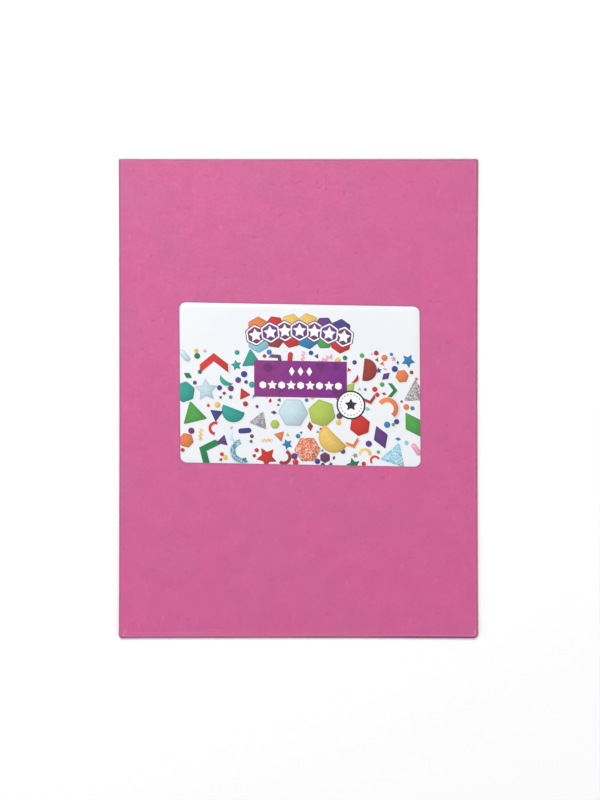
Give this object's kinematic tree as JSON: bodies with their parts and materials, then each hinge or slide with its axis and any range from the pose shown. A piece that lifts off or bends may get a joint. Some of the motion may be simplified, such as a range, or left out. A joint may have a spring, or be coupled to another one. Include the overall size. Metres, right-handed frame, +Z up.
{
  "type": "craft foam sheet",
  "caption": "Flat rectangular sheet of soft pink craft foam with a paper product label stuck on its face, for cutting and gluing.",
  "frame": {"origin": "centre of the sheet's underside, on the surface it lies on", "axes": "+X along the sheet's width towards the picture's right, +Y along its length towards the picture's top, +Z up out of the labelled face"},
  "size_m": [0.2286, 0.3048, 0.0024],
  "materials": {
    "foam": "matte closed-cell foam, finely pitted, pink",
    "label_paper": "smooth coated white paper with a faint gloss"
  },
  "bodies": {
    "root": {"foam_sheet": "foam", "label": "label_paper"}
  },
  "joints": []
}
